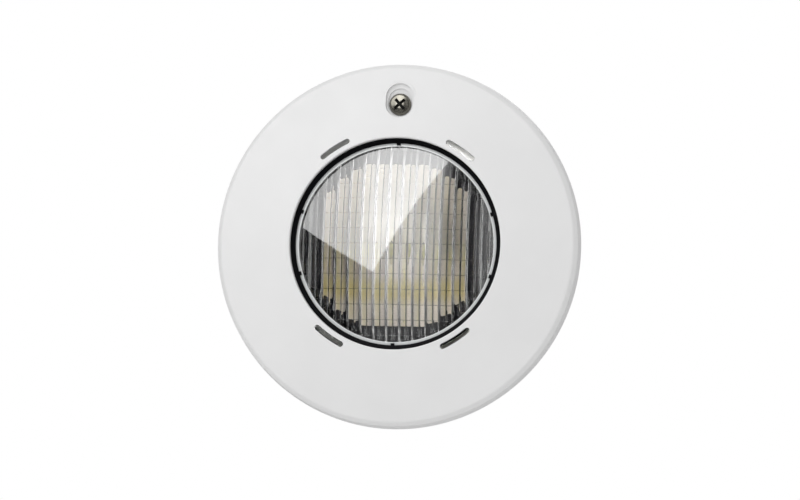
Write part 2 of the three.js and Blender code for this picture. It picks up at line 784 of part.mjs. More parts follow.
add("bulb_envelope", capsuleEnvelope(), materials.clear);
add("bulb_filament", capsuleFilament(), materials.tungsten);
add("bulb_base", baseWithPins(), materials.ceramic);
add("lamp_socket", lampSocket(), materials.ceramic);
add("socket_bracket", socketBracket(), materials.steel);
SIDES.forEach((side, i) => {
  const screw = panScrew(smallScrew, bracket.front - GAP, bracket.screwTip, side * bracket.screwX, 0);
  add(`socket_screw_${i + 1}`, screw, materials.steel);
});
add("terminal_block", terminalBlock(), materials.nylon);
add("lead_red", lead(1), materials.redInsulation);
add("lead_black", lead(-1), materials.blackInsulation);

// ---------------------------------------------------------------- the pilot screw

// The cross recess that a screwdriver fits, cut into the head.
function pilotRecess() {
  const { length, width, depth, angle } = pilotCross;
  const long = new THREE.BoxGeometry(length, depth * 2, width);
  const wide = new THREE.BoxGeometry(width, depth * 2, length);
  return join(solid(long), solid(wide)).rotate([0, angle, 0]).translate([0, pilot.top, 0]);
}

function pilotScrew() {
  const { headRadius, shankRadius, top, seat, tip } = pilot;
  const blank = turned(
    [
      [0, top],
      [headRadius / 2, top],
      [headRadius - 1.2, top + 1.3],
      [headRadius, top + 3],
      [headRadius, seat - GAP],
      [shankRadius, seat - GAP],
      [shankRadius, tip - 1],
      [shankRadius - 0.8, tip],
      [0, tip],
    ],
    SMALL_ROUND,
  );
  return cut(blank, pilotRecess()).translate([0, 0, pilot.height]);
}

function captiveWasher() {
  const { radius, bore, front, back } = washer;
  const disc = bar(radius, front, back, 0, pilot.height, SMALL_ROUND);
  return cut(disc, bar(bore, front - PAST, back + PAST, 0, pilot.height, SMALL_ROUND));
}

add("pilot_screw", pilotScrew(), materials.steel);
add("captive_washer", captiveWasher(), materials.nylon);

export default light;
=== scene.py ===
"""Looks for the underwater pool light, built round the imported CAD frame: metres, +Z up, facing -Y."""

import json
import math

import bmesh
import bpy
from mathutils import Matrix, Vector


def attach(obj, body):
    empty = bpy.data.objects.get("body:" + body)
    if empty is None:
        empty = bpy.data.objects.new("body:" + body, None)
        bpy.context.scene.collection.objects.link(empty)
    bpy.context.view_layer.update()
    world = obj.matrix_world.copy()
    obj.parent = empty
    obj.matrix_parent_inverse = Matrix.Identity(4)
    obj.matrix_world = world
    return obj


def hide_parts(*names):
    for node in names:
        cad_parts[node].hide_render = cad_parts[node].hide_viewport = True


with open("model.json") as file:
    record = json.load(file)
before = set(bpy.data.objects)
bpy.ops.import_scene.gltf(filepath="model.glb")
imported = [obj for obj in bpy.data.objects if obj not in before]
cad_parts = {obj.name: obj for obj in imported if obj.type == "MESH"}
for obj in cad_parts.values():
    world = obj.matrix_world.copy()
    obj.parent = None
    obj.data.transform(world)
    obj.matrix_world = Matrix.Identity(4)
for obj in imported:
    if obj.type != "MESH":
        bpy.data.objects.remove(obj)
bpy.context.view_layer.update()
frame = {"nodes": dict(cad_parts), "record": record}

MM = 0.001
FINE = 192  # sides of the large round pieces
MEDIUM = 96
SMALL = 40

NICHE = "niche"
LIGHT = "light_unit"


# ---------------------------------------------------------------- mesh helpers


def new_object(name, mesh, material, body, replaced=()):
    """A piece made from a mesh: it rides on a body and stands for the CAD nodes in replaced."""
    piece = bpy.data.objects.new(name, mesh)
    bpy.context.scene.collection.objects.link(piece)
    mesh.materials.clear()
    mesh.materials.append(material)
    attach(piece, body)
    if replaced:
        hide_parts(*replaced)
    return piece


def smooth(mesh, angle=35.0):
    """Smooth shading with a crease wherever two faces meet at more than the angle, in degrees."""
    mesh.shade_smooth()
    mesh.set_sharp_from_angle(angle=math.radians(angle))


def filleted(corners, steps=5):
    """A closed outline from (r, y, fillet radius) corners, with an arc at each corner that has a radius."""
    outline = []
    count = len(corners)
    for i, (r, y, radius) in enumerate(corners):
        here = Vector((r, y))
        if radius == 0:
            outline.append(here)
            continue
        to_last = (Vector(corners[i - 1][:2]) - here).normalized()
        to_next = (Vector(corners[(i + 1) % count][:2]) - here).normalized()
        half = to_last.angle(to_next) / 2
        reach = radius / math.tan(half)
        centre = here + (to_last + to_next).normalized() * (radius / math.sin(half))
        start = here + to_last * reach - centre
        end = here + to_next * reach - centre
        sweep = start.angle_signed(end)
        for k in range(steps + 1):
            turn = Matrix.Rotation(-sweep * k / steps, 2)
            outline.append(centre + turn @ start)
    return outline


def turned(corners, sides=FINE, steps=5):
    """A mesh turned about the Y axis from (r, y, fillet radius) corners in mm, which may end on the axis."""
    outline = filleted(corners, steps)
    shape = bmesh.new()
    rings = []
    for r, y in outline:
        if r < 1e-6:
            rings.append([shape.verts.new((0, y * MM, 0))])
            continue
        angles = [2 * math.pi * k / sides for k in range(sides)]
        rings.append([shape.verts.new((r * math.cos(a) * MM, y * MM, r * math.sin(a) * MM)) for a in angles])
    for near, far in zip(rings, rings[1:] + rings[:1]):
        for k in range(sides):
            near_edge = [near[k % len(near)], near[(k + 1) % len(near)]]
            far_edge = [far[(k + 1) % len(far)], far[k % len(far)]]
            distinct = list(dict.fromkeys(near_edge + far_edge))
            if len(distinct) > 2:
                shape.faces.new(distinct)
    return closed(shape)


def bar(radius, front, back, x=0.0, z=0.0, sides=SMALL, fillet=0.0):
    """A round bar along Y from y = front to y = back, in mm."""
    corners = [(0, front, 0), (radius, front, fillet), (radius, back, fillet), (0, back, 0)]
    return moved(turned(corners, sides), x, 0, z)


def closed(shape):
    """A bmesh as a mesh whose faces look outward."""
    bmesh.ops.remove_doubles(shape, verts=shape.verts, dist=1e-7)
    bmesh.ops.recalc_face_normals(shape, faces=shape.faces)
    mesh = bpy.data.meshes.new("shape")
    shape.to_mesh(mesh)
    shape.free()
    return mesh


def prism(outline, front, back):
    """A mesh with a flat outline of (x, z) points in mm, from y = front to y = back."""
    shape = bmesh.new()
    ends = [[shape.verts.new((x * MM, y * MM, z * MM)) for x, z in outline] for y in (front, back)]
    count = len(outline)
    for end in ends:
        shape.faces.new(end)
    for k in range(count):
        following = (k + 1) % count
        shape.faces.new((ends[0][k], ends[0][following], ends[1][following], ends[1][k]))
    return closed(shape)


def box_mesh(low, high):
    """A box mesh between two corners in mm."""
    (x0, y0, z0), (x1, y1, z1) = low, high
    return prism([(x0, z0), (x1, z0), (x1, z1), (x0, z1)], y0, y1)


def arc(radius, start, end, steps, centre=(0, 0)):
    """(x, z) points along an arc, in mm and degrees."""
    angles = [math.radians(start + (end - start) * k / steps) for k in range(steps + 1)]
    return [(centre[0] + radius * math.cos(a), centre[1] + radius * math.sin(a)) for a in angles]


def obround(radius, low, rise, steps=24):
    """Two half circles joined by straight sides, from height low up to low + rise."""
    return arc(radius, 0, 180, steps, (0, low + rise)) + arc(radius, 180, 360, steps, (0, low))


def arc_slot(radius, width, middle, half, steps=16):
    """A slot with round ends that follows a circle about the lamp's axis."""
    ends = on_circle(radius, (middle + half, middle - half))
    outer = arc(radius + width / 2, middle - half, middle + half, steps)
    inner = arc(radius - width / 2, middle + half, middle - half, steps)
    first = arc(width / 2, middle + half, middle + half + 180, 10, ends[0])[1:-1]
    last = arc(width / 2, middle - half + 180, middle - half + 360, 10, ends[1])[1:-1]
    return outer + first + inner + last


def combined(mesh, others, operation):
    """mesh after an exact boolean with each of the other meshes."""
    for other in others:
        base = bpy.data.objects.new("base", mesh)
        tool = bpy.data.objects.new("tool", other)
        for item in (base, tool):
            bpy.context.scene.collection.objects.link(item)
        modifier = base.modifiers.new("combine", "BOOLEAN")
        modifier.operation = operation
        modifier.object = tool
        modifier.solver = "EXACT"
        mesh = evaluated(base)
        for item in (base, tool):
            bpy.data.objects.remove(item)
    return mesh


def evaluated(item):
    """The mesh of an object with its modifiers applied."""
    bpy.context.view_layer.update()
    graph = bpy.context.evaluated_depsgraph_get()
    return bpy.data.meshes.new_from_object(item.evaluated_get(graph))


def cut(mesh, *others):
    return combined(mesh, others, "DIFFERENCE")


def joined(mesh, *others):
    return combined(mesh, others, "UNION")


def bevelled(mesh, width, angle=40.0, segments=3):
    """mesh with each edge sharper than the angle rounded off, width in mm."""
    item = bpy.data.objects.new("bevel", mesh)
    bpy.context.scene.collection.objects.link(item)
    modifier = item.modifiers.new("round", "BEVEL")
    modifier.width = width * MM
    modifier.segments = segments
    modifier.limit_method = "ANGLE"
    modifier.angle_limit = math.radians(angle)
    modifier.use_clamp_overlap = True
    result = evaluated(item)
    bpy.data.objects.remove(item)
    return result


def weighted(piece):
    """Keeps wide faces flat where small rounded edges meet them."""
    modifier = piece.modifiers.new("normals", "WEIGHTED_NORMAL")
    modifier.keep_sharp = True
    return piece


def moved(mesh, x=0.0, y=0.0, z=0.0):
    """mesh shifted, in mm."""
    mesh.transform(Matrix.Translation((x * MM, y * MM, z * MM)))
    return mesh


def on_circle(radius, angles):
    return [(radius * math.cos(math.radians(a)), radius * math.sin(math.radians(a))) for a in angles]


# ---------------------------------------------------------------- materials


def shader(name, colour, roughness, metallic=0.0, **inputs):
    """A Principled material. inputs are sockets by name with _ for a space."""
    material = bpy.data.materials.new(name)
    material.use_nodes = True
    principled = material.node_tree.nodes["Principled BSDF"]
    principled.inputs["Base Color"].default_value = (*colour, 1)
    principled.inputs["Roughness"].default_value = roughness
    principled.inputs["Metallic"].default_value = metallic
    for key, value in inputs.items():
        principled.inputs[key.replace("_", " ")].default_value = value
    return material


def noise(material, scale, detail=3.0, stretch=(1, 1, 1)):
    """A noise texture in the object's own coordinates, in features per metre."""
    nodes, links = material.node_tree.nodes, material.node_tree.links
    place = nodes.new("ShaderNodeTexCoord")
    mapping = nodes.new("ShaderNodeMapping")
    mapping.inputs["Scale"].default_value = stretch
    texture = nodes.new("ShaderNodeTexNoise")
    texture.inputs["Scale"].default_value = scale
    texture.inputs["Detail"].default_value = detail
    links.new(place.outputs["Object"], mapping.inputs["Vector"])
    links.new(mapping.outputs["Vector"], texture.inputs["Vector"])
    return texture


def bump(material, height, strength, distance):
    """Bumps the surface with a texture's output, distance in mm."""
    nodes, links = material.node_tree.nodes, material.node_tree.links
    node = nodes.new("ShaderNodeBump")
    node.inputs["Strength"].default_value = strength
    node.inputs["Distance"].default_value = distance * MM
    links.new(height, node.inputs["Height"])
    links.new(node.outputs["Normal"], nodes["Principled BSDF"].inputs["Normal"])


def colour_ramp(nodes, stops):
    """A colour ramp through (position, colour) stops, in rising order."""
    ramp = nodes.new("ShaderNodeValToRGB")
    elements = ramp.color_ramp.elements
    while len(elements) > 1:
        elements.remove(elements[-1])
    for k, (position, colour) in enumerate(stops):
        element = elements[0] if k == 0 else elements.new(position)
        element.position = position
        element.color = (*colour, 1)
    return ramp


NOISE_LOW, NOISE_HIGH = 0.3, 0.7  # a noise texture seldom leaves this range


def vary(material, texture, socket, low, high):
    """Drives one socket between two values, or two colours, with a texture."""
    nodes, links = material.node_tree.nodes, material.node_tree.links
    if isinstance(low, tuple):
        ramp = colour_ramp(nodes, [(NOISE_LOW, low), (NOISE_HIGH, high)])
        links.new(texture.outputs["Fac"], ramp.inputs["Fac"])
        links.new(ramp.outputs["Color"], nodes["Principled BSDF"].inputs[socket])
        return
    span = nodes.new("ShaderNodeMapRange")
    span.inputs["From Min"].default_value = NOISE_LOW
    span.inputs["From Max"].default_value = NOISE_HIGH
    span.inputs["To Min"].default_value = low
    span.inputs["To Max"].default_value = high
    links.new(texture.outputs["Fac"], span.inputs["Value"])
    links.new(span.outputs["Result"], nodes["Principled BSDF"].inputs[socket])


def moulded_plastic(name, colour, roughness, grain=0.03, specular=0.5):
    """Moulded plastic: slight colour drift, a fine spark-eroded grain and uneven gloss."""
    material = shader(name, colour, roughness, Specular_IOR_Level=specular)
    shade = tuple(c * 0.965 for c in colour)
    vary(material, noise(material, 18), "Base Color", shade, colour)
    vary(material, noise(material, 60), "Roughness", roughness - 0.05, roughness + 0.07)
    bump(material, noise(material, 2600, 2).outputs["Fac"], 0.25, grain)
    return material


def brushed_metal(name, colour, roughness, stretch=(1, 12, 1)):
    """Metal with fine drawn lines and small marks."""
    material = shader(name, colour, roughness, 1.0)
    lines = noise(material, 900, 2, stretch)
    vary(material, lines, "Roughness", roughness - 0.07, roughness + 0.12)
    vary(material, noise(material, 220), "Base Color", tuple(c * 0.82 for c in colour), colour)
    bump(material, lines.outputs["Fac"], 0.2, 0.02)
    return material


def lets_lamps_through(material):
    """Shadow rays pass the glass, so that what is behind it is lit."""
    nodes, links = material.node_tree.nodes, material.node_tree.links
    path = nodes.new("ShaderNodeLightPath")
    clear = nodes.new("ShaderNodeBsdfTransparent")
    mix = nodes.new("ShaderNodeMixShader")
    links.new(path.outputs["Is Shadow Ray"], mix.inputs["Fac"])
    links.new(nodes["Principled BSDF"].outputs["BSDF"], mix.inputs[1])
    links.new(clear.outputs["BSDF"], mix.inputs[2])
    links.new(mix.outputs["Shader"], nodes["Material Output"].inputs["Surface"])
    return material


def clear_glass(name, colour, roughness=0.0, ior=1.5, **coat):
    material = shader(name, colour, roughness, Transmission_Weight=1.0, IOR=ior, **coat)
    return lets_lamps_through(material)


BOWL_RADIUS = 71  # of the reflector at its rim


def mirror_coating():
    """Bright metallised reflector: warm, softly dimpled, with a heat-tinted band across its lower half."""
    material = shader("reflector_mirror", (0.93, 0.91, 0.85), 0.3, 1.0)
    nodes, links = material.node_tree.nodes, material.node_tree.links
    place = nodes.new("ShaderNodeTexCoord")
    split = nodes.new("ShaderNodeSeparateXYZ")
    span = nodes.new("ShaderNodeMapRange")
    span.inputs["From Min"].default_value = -BOWL_RADIUS * MM
    span.inputs["From Max"].default_value = BOWL_RADIUS * MM
    stops = [
        (0.00, (0.98, 0.94, 0.90)),
        (0.17, (0.96, 0.91, 0.84)),
        (0.24, (0.88, 0.78, 0.46)),
        (0.30, (0.90, 0.81, 0.50)),
        (0.36, (0.95, 0.87, 0.82)),
        (0.50, (0.97, 0.92, 0.86)),
        (1.00, (0.98, 0.95, 0.92)),
    ]
    ramp = colour_ramp(nodes, stops)
    links.new(place.outputs["Object"], split.inputs["Vector"])
    links.new(split.outputs["Z"], span.inputs["Value"])
    links.new(span.outputs["Result"], ramp.inputs["Fac"])
    links.new(ramp.outputs["Color"], nodes["Principled BSDF"].inputs["Base Color"])
    vary(material, noise(material, 45), "Roughness", 0.26, 0.36)
    bump(material, noise(material, 260, 2).outputs["Fac"], 0.5, 0.15)
    return material


MATERIALS = {
    "white_plastic": moulded_plastic("white_plastic", (0.80, 0.80, 0.80), 0.5, specular=0.35),
    "niche_plastic": moulded_plastic("niche_plastic", (0.76, 0.76, 0.74), 0.55, 0.05),
    "black_plastic": moulded_plastic("black_plastic", (0.004, 0.004, 0.005), 0.6, specular=0.06),
    "rubber": moulded_plastic("rubber", (0.010, 0.010, 0.011), 0.75, 0.06),
    "stainless_steel": brushed_metal("stainless_steel", (0.40, 0.38, 0.31), 0.22),
    "brass": brushed_metal("brass", (0.72, 0.55, 0.26), 0.3),
    "lens_glass": clear_glass("lens_glass", (0.99, 0.99, 0.985), ior=1.52, Coat_Weight=1.0, Coat_IOR=1.9),
    "quartz": clear_glass("quartz", (0.86, 0.86, 0.44), 0.3, ior=1.46),
    "reflector_mirror": mirror_coating(),
    "tungsten": brushed_metal("tungsten", (0.32, 0.31, 0.30), 0.4),
    "ceramic": moulded_plastic("ceramic", (0.80, 0.74, 0.56), 0.7, 0.05),
    "nylon": moulded_plastic("nylon", (0.78, 0.75, 0.66), 0.5),
    "red_insulation": moulded_plastic("red_insulation", (0.42, 0.03, 0.02), 0.45),
    "black_insulation": moulded_plastic("black_insulation", (0.015, 0.015, 0.016), 0.45),
}
GROUND_GLASS = shader("ground_glass", (0.93, 0.95, 0.95), 0.2, Transmission_Weight=0.15, IOR=1.6)
MASK_BLACK = moulded_plastic("mask_black", (0.005, 0.005, 0.008), 0.7, specular=0.05)
# A darker copy of the stainless steel, for the pilot screw alone: painted shade that keeps its head dark.
SHADED_PILOT_STEEL = brushed_metal("shaded_pilot_steel", (0.23, 0.22, 0.19), 0.24)
# Near-black for the walls and floor of the pilot screw's cross recess: painted shade in the recess.
RECESS_PAINTED_SHADE = moulded_plastic("recess_painted_shade", (0.008, 0.008, 0.007), 0.6, specular=0.1)


def finish_cad_nodes():
    """Every CAD node gets the procedural material of its slot, also those that finer pieces stand for."""
    for entry in frame["record"]["subparts"]:
        node = frame["nodes"][entry["node"]]
        node.data.materials.clear()
        node.data.materials.append(MATERIALS[entry["material_slot"]])
        smooth(node.data)


# ---------------------------------------------------------------- the face plate

SLOPE = 0.155  # rise of the plate's face towards the centre, for each mm
FACE_RADIUS = 145.0
FACE_EDGE = -17.0
PLATE_WALL = 3.0
OPENING = 86.5
COLLAR_OUTSIDE = OPENING + 2.5  # the collar behind the opening
COLLAR_BACK = -19.4
LIP_BACK = -1.0
RING_SCREW_CIRCLE = 90.5
RING_SCREW_ANGLES = (18, 90, 162, 198, 270, 342)
CLAMP_SCREW_CIRCLE = 119
CLAMP_SCREW_ANGLES = [22.5 + 45 * k for k in range(8)]
PILOT_Z = 114.8
POCKET_RADIUS, POCKET_RISE, POCKET_STEP_Y = 11.5, 5.6, -17.6
POCKET_WALL, POCKET_BACK = 2.2, -13.6
STEP_RADIUS, STEP_RISE, SEAT_Y = 9.75, 3.4, -16
SHANK_SLOT_RADIUS = 3.8
SLOT_CIRCLE, SLOT_WIDTH, SLOT_HALF_ARC = 92.9, 4.6, 7.2
SLOT_ANGLES = (56, 124, 236, 304)
SUNK = 1.2  # how far the cup and the tongue start below the face


def face_y(r):
    """y of the plate's front face at radius r, in mm."""
    return FACE_EDGE - (FACE_RADIUS - r) * SLOPE


def plate_shell():
    corners = [
        (150.0, LIP_BACK, 0.5),
        (148.4, -13.2, 3.0),
        (FACE_RADIUS, FACE_EDGE, 3.5),
        (OPENING, face_y(OPENING), 1.1),
        (OPENING, COLLAR_BACK, 0.4),
        (COLLAR_OUTSIDE, COLLAR_BACK, 0.4),
        (COLLAR_OUTSIDE, face_y(COLLAR_OUTSIDE) + PLATE_WALL, 0),
        (FACE_RADIUS - 0.6, FACE_EDGE + PLATE_WALL - 0.1, 1.0),
        (FACE_RADIUS + 0.4, -12.6, 1.0),
        (147.0, LIP_BACK, 0.5),
    ]
    return turned(corners)


def tongue():
    """The tongue that hangs in the bottom hook, and the web that carries it."""
    half, front, back = 8, -8.2, -6
    web = box_mesh((-half, face_y(133) + SUNK, -134.2), (half, back, -132))
    return joined(web, box_mesh((-half, front, -140.2), (half, back, -132.5)))


def face_plate():
    cup_front = face_y(PILOT_Z) + SUNK
    cup = prism(obround(POCKET_RADIUS + POCKET_WALL, PILOT_Z, POCKET_RISE), cup_front, POCKET_BACK)
    shell = joined(plate_shell(), cup, tongue())
    far = face_y(0) - 5
    slots = [prism(arc_slot(SLOT_CIRCLE, SLOT_WIDTH, a, SLOT_HALF_ARC), far, -10) for a in SLOT_ANGLES]
    pocket = prism(obround(POCKET_RADIUS, PILOT_Z, POCKET_RISE), far, POCKET_STEP_Y)
    step = prism(obround(STEP_RADIUS, PILOT_Z, STEP_RISE), far, SEAT_Y)
    through = prism(obround(SHANK_SLOT_RADIUS, PILOT_Z, STEP_RISE), far, -8)
    shell = bevelled(cut(shell, *slots, pocket, step, through), 0.45)
    smooth(shell, 40)
    white = MATERIALS["white_plastic"]
    weighted(new_object("face_plate_moulding", shell, white, LIGHT, ["face_plate"]))


# ---------------------------------------------------------------- ring, lens and mask

LENS_RADIUS = 80.0
FRONT_CURVE = 264.0
LENS_EDGE_Y = -16.6
LENS_THICKNESS = 2.1  # at the edges of the flutes
LENS_BACK = -9.0
RING_BORE = 82.7
FLUTE_PITCH = 10.7
FLUTE_RADIUS = 6.6
FLUTES = 16
GROOVE_HALF_WIDTH = 0.8
GROOVE_DEPTH = 0.9  # of the fine groove along the middle of each flute
ROW_PITCH = 12.3  # the prism rows break at each multiple of this height
ROWS = 14
ROW_RISE = 0.5
ROW_RISER = 0.3  # height of the steep side of a prism


def sag(curve, r):
    """How far a sphere has dropped at radius r, in mm."""
    return curve - math.sqrt(curve * curve - r * r)


def dome_y(r):
    return LENS_EDGE_Y - (sag(FRONT_CURVE, LENS_RADIUS) - sag(FRONT_CURVE, r))


def flute_height(x):
    """How far a flute, part of a round bar with a groove in its middle, stands out behind the lens."""
    across = ((x / FLUTE_PITCH + 0.5) % 1.0 - 0.5) * FLUTE_PITCH
    edge = math.sqrt(FLUTE_RADIUS**2 - (FLUTE_PITCH / 2) ** 2)
    groove = GROOVE_DEPTH * max(0.0, 1 - abs(across) / GROOVE_HALF_WIDTH)
    return math.sqrt(FLUTE_RADIUS**2 - across**2) - edge - groove


def fluted_block():
    """A block whose back is the lens's inner face: upright flutes crossed by rows of shallow prisms."""
    per_flute, per_row = 24, 5
    columns = [(k / per_flute - FLUTES / 2) * FLUTE_PITCH for k in range(FLUTES * per_flute + 1)]
    heights = []
    for row in range(ROWS):
        low = (row - ROWS / 2) * ROW_PITCH
        heights += [(low + (ROW_PITCH - ROW_RISER) * k / per_row, k / per_row) for k in range(per_row + 1)]
    shape = bmesh.new()
    grid = []
    for z, share in heights:
        line = []
        for x in columns:
            r = min(math.hypot(x, z), LENS_RADIUS + 30)
            y = dome_y(r) + LENS_THICKNESS + flute_height(x) + ROW_RISE * share
            line.append(shape.verts.new((x * MM, y * MM, z * MM)))
        grid.append(line)
    for lower, upper in zip(grid, grid[1:]):
        for k in range(len(columns) - 1):
            shape.faces.new((lower[k], lower[k + 1], upper[k + 1], upper[k]))
    left = [line[0] for line in grid[-2:0:-1]]
    right = [line[-1] for line in grid[1:]]
    border = grid[0] + right + grid[-1][-2::-1] + left
    in_front = -60 * MM
    front = [shape.verts.new((v.co.x, in_front, v.co.z)) for v in border]
    count = len(border)
    for k in range(count):
        following = (k + 1) % count
        shape.faces.new((border[k], border[following], front[following], front[k]))
    shape.faces.new(front)
    return closed(shape)


def lens_pieces():
    steps = 24
    dome = [(r, dome_y(r), 0) for r in [LENS_RADIUS * k / steps for k in range(steps + 1)]]
    blank = turned([*dome, (LENS_RADIUS, LENS_BACK, 0), (0, LENS_BACK, 0)])
    disc = combined(blank, [fluted_block()], "INTERSECT")
    smooth(disc, 28)
    new_object("fluted_lens", disc, MATERIALS["lens_glass"], LIGHT, ["lens"])
    inside, outside, back, fillet = LENS_RADIUS + 0.1, 88, -12, 0.3
    rim_corners = [
        (inside, -17.6, fillet),
        (RING_BORE + 0.6, -16.7, fillet),
        (outside, -16.6, fillet),
        (outside, back, fillet),
        (inside, back, fillet),
    ]
    rim = turned(rim_corners)
    smooth(rim)
    new_object("lens_rim", rim, GROUND_GLASS, LIGHT)


RING_RADIUS = 90.0
COLLAR_RADIUS = 86.1
SKIRT_RADIUS = 88.4
RING_FRONT, RING_LIP, RING_BACK = -19.1, -17.0, -12.3
LUG_RADIUS = 4


def lens_ring():
    corners = [
        (RING_BORE, -19.6, 0.3),
        (COLLAR_RADIUS, -22.2, 0.5),
        (COLLAR_RADIUS, RING_FRONT, 0.2),
        (RING_RADIUS, RING_FRONT, 0.3),
        (RING_RADIUS, RING_BACK, 0.3),
        (SKIRT_RADIUS, RING_BACK, 0.3),
        (SKIRT_RADIUS, RING_LIP, 0),
        (RING_BORE, RING_LIP, 0.3),
    ]
    places = on_circle(RING_SCREW_CIRCLE, RING_SCREW_ANGLES)
    lugs = [bar(LUG_RADIUS, RING_FRONT, RING_BACK, x, z, fillet=0.3) for x, z in places]
    holes = [bar(2.2, -25, -5, x, z) for x, z in places]
    keep_clear = bar(SKIRT_RADIUS, RING_LIP, -11, sides=FINE)
    ring = cut(joined(turned(corners), *lugs), keep_clear, *holes)
    ring = bevelled(joined(ring, *[ring_finger(a) for a in RING_SCREW_ANGLES]), 0.3)
    smooth(ring)
    black = MATERIALS["black_plastic"]
    weighted(new_object("lens_ring", ring, black, LIGHT, ["lens_clamp_ring"]))


def ring_finger(angle):
    """A small finger that reaches inwards over the lens's rim."""
    half = 1.5
    finger = box_mesh((81, RING_FRONT, -half), (83.6, RING_LIP - 0.1, half))
    finger.transform(Matrix.Rotation(-math.radians(angle), 4, "Y"))
    return finger


MASK_RADIUS, MASK_FRONT, MASK_BACK = 76.5, -9.6, -8.5


def mask():
    """The black plate in front of the reflector. Its window is a circle cut off straight on four sides."""
    radius, half_width, half_height = 70, 58, 66
    low = math.degrees(math.acos(half_width / radius))
    high = math.degrees(math.asin(half_height / radius))
    window = []
    for start, end in ((low, high), (180 - high, 180 - low), (180 + low, 180 + high), (-high, -low)):
        window += arc(radius, start, end, 24)
    disc = bar(MASK_RADIUS, MASK_FRONT, MASK_BACK, sides=FINE, fillet=0.2)
    plate = bevelled(cut(disc, prism(window, -12, -6)), 0.2)
    smooth(plate)
    weighted(new_object("mask", plate, MASK_BLACK, LIGHT, ["shade_bezel"]))


# ---------------------------------------------------------------- reflector and halogen capsule

BOWL_VERTEX = 41.8
FOCAL_LENGTH = 25.2


def bowl_y(r):
    return BOWL_VERTEX - r * r / (4 * FOCAL_LENGTH)


def reflector():
    hole_radius, steps = 10, 20
    radii = [hole_radius + (BOWL_RADIUS - hole_radius) * (k / steps) for k in range(steps + 1)]
    inside = [(r, bowl_y(r), 0) for r in radii]
    outside = [(r + 0.4, bowl_y(r) + 1.1, 0) for r in reversed(radii)]
    rim, flange = bowl_y(BOWL_RADIUS), 76.3
    bowl = turned([*inside, (flange, rim, 0.2), (flange, rim + 1, 0.2), *outside])
    smooth(bowl)
    mirror = MATERIALS["reflector_mirror"]
    new_object("reflector_bowl", bowl, mirror, LIGHT, ["reflector"])


FILAMENT_Y = 18
CAPSULE_END = 36


def capsule():
    outside = [(0, 10, 0), (1.2, 10.1, 0), (4.6, 12.2, 1.5), (6, 16, 1.5), (6, CAPSULE_END, 0.3)]
    inside = [(4.9, CAPSULE_END, 0.2), (4.9, 16, 1.2), (3.9, 13.4, 1.2), (0, 11.4, 0)]
    envelope = turned([*outside, *inside], MEDIUM)
    smooth(envelope, 60)
    new_object("quartz_capsule", envelope, MATERIALS["quartz"], LIGHT, ["bulb_envelope"])


def filament():
    """A coil across the capsule, with a leg down each end."""
    turns, per_turn, radius, half = 9, 12, 0.95, 3.3
    leg_top = 24
    count = turns * per_turn
    coil = []
    for k in range(count + 1):
        a = 2 * math.pi * k / per_turn
        coil.append((-half + 2 * half * k / count, FILAMENT_Y + radius * math.cos(a), radius * math.sin(a)))
    first_leg = [(-half, CAPSULE_END, 0), (-half, leg_top, 0)]
    last_leg = [(half, leg_top, 0), (half, CAPSULE_END, 0)]
    wire = round_wire(first_leg + coil + last_leg, 0.22)
    smooth(wire)
    new_object("filament_coil", wire, MATERIALS["tungsten"], LIGHT, ["bulb_filament"])


def round_wire(points, radius):
    """A round wire through (x, y, z) points, all in mm."""
    curve = bpy.data.curves.new("wire", "CURVE")
    curve.dimensions = "3D"
    curve.bevel_depth = radius * MM
    curve.bevel_resolution = 3
    curve.use_fill_caps = True
    spline = curve.splines.new("POLY")
    spline.points.add(len(points) - 1)
    for place, (x, y, z) in zip(spline.points, points):
        place.co = (x * MM, y * MM, z * MM, 1)
    item = bpy.data.objects.new("wire", curve)
    bpy.context.scene.collection.objects.link(item)
    wire = evaluated(item)
    bpy.data.objects.remove(item)
    return wire


def capsule_base():
    pin_offset = 3.175  # half of the 6.35 mm pin spacing
    base = bevelled(box_mesh((-5.5, 36.4, -2.25), (5.5, 44.9, 2.25)), 0.7)
    base = joined(base, *[bar(0.5, 44, 50.5, x) for x in (-pin_offset, pin_offset)])
    smooth(base)
    weighted(new_object("capsule_base", base, MATERIALS["ceramic"], LIGHT, ["bulb_base"]))


# ---------------------------------------------------------------- screws


def cross_recess(length, width, top, depth, angle):
    """The tool that cuts a cross recess into a head whose top is at y = top, in mm."""
    bars = []
    for half_x, half_z in ((length / 2, width / 2), (width / 2, length / 2)):
        bars.append(box_mesh((-half_x, top - depth, -half_z), (half_x, top + depth, half_z)))
    cross = joined(*bars)
    cross.transform(Matrix.Rotation(math.radians(angle), 4, "Y"))
    return cross


def pan_screw(node, place, seat, tip, head, angle, body):
    """A pan-head screw in place of a CAD node. seat is the y of the head's underside and head its radius."""
    shank, height = 2.0, 2.4
    out = 1 if seat > tip else -1
    top = seat + out * height
    corners = [
        (0, top, 0),
        (head * 0.45, top, 0),
        (head, top - out * height * 0.45, head * 0.35),
        (head, seat, 0.2),
        (shank, seat, 0),
        (shank, tip + out * shank * 0.5, 0),
        (shank * 0.6, tip, 0),
        (0, tip, 0),
    ]
    mesh = cut(turned(corners, SMALL), cross_recess(head * 1.05, head * 0.24, top, height * 0.6, angle))
    mesh = moved(bevelled(mesh, 0.08, segments=2), place[0], 0, place[1])
    smooth(mesh)
    steel = MATERIALS["stainless_steel"]
    weighted(new_object(f"{node}_steel", mesh, steel, body, [node]))


